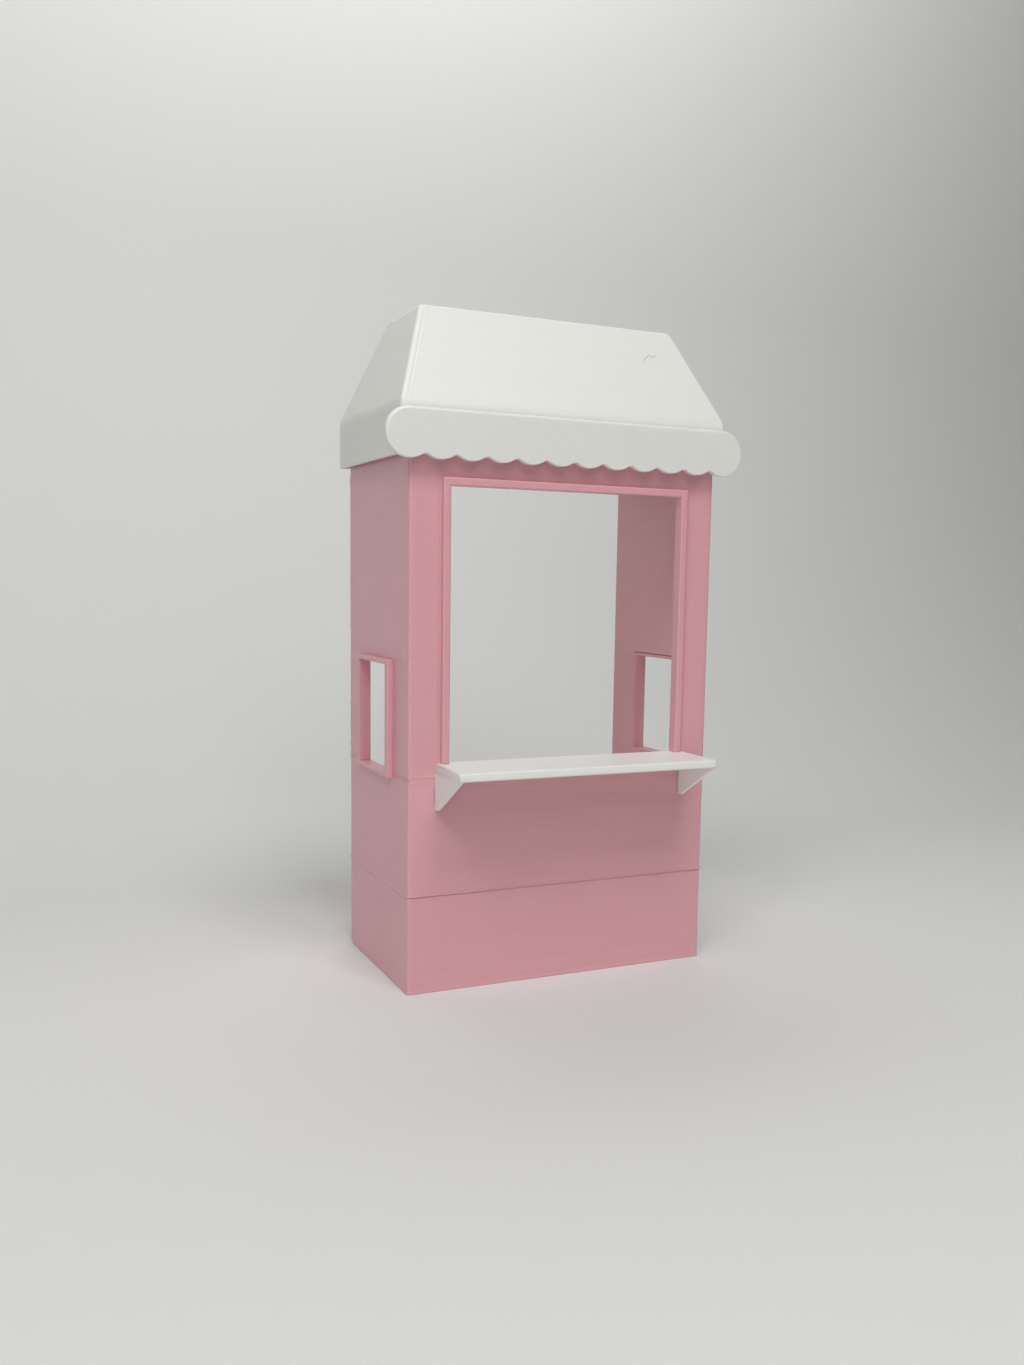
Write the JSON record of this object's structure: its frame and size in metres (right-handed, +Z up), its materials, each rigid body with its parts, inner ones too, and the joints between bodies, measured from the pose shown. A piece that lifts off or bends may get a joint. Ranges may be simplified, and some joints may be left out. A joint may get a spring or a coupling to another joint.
{
  "type": "miniature booth",
  "caption": "Miniature walk-up booth in pink and white printed plastic, with a serving window, counter, side windows, open back and a lift-off hip roof with a scalloped valance.",
  "frame": {"origin": "centre of the base's footprint, on the surface the booth stands on", "axes": "+Z up, the serving window and counter face -Y, +X to the right seen from the front"},
  "size_m": [0.0694, 0.0481, 0.12],
  "materials": {
    "pink_plastic": "satin printed layers",
    "white_plastic": "satin printed layers"
  },
  "bodies": {
    "booth": {"base_section": "pink_plastic", "floor_deck": "pink_plastic", "lower_body": "pink_plastic", "joining_band": "pink_plastic", "upper_body": "pink_plastic", "front_window_frame": "pink_plastic", "side_window_frame_left": "pink_plastic", "side_window_frame_right": "pink_plastic", "counter_shelf": "white_plastic", "counter_bracket_left": "white_plastic", "counter_bracket_right": "white_plastic"},
    "roof": {"roof_shell": "white_plastic", "roof_collar": "white_plastic", "roof_valance": "white_plastic"}
  },
  "joints": [
    {"name": "roof_lift", "type": "slide", "parent": "booth", "child": "roof", "axis": [0, 0, 1], "range_m": [0, 0.02]}
  ]
}
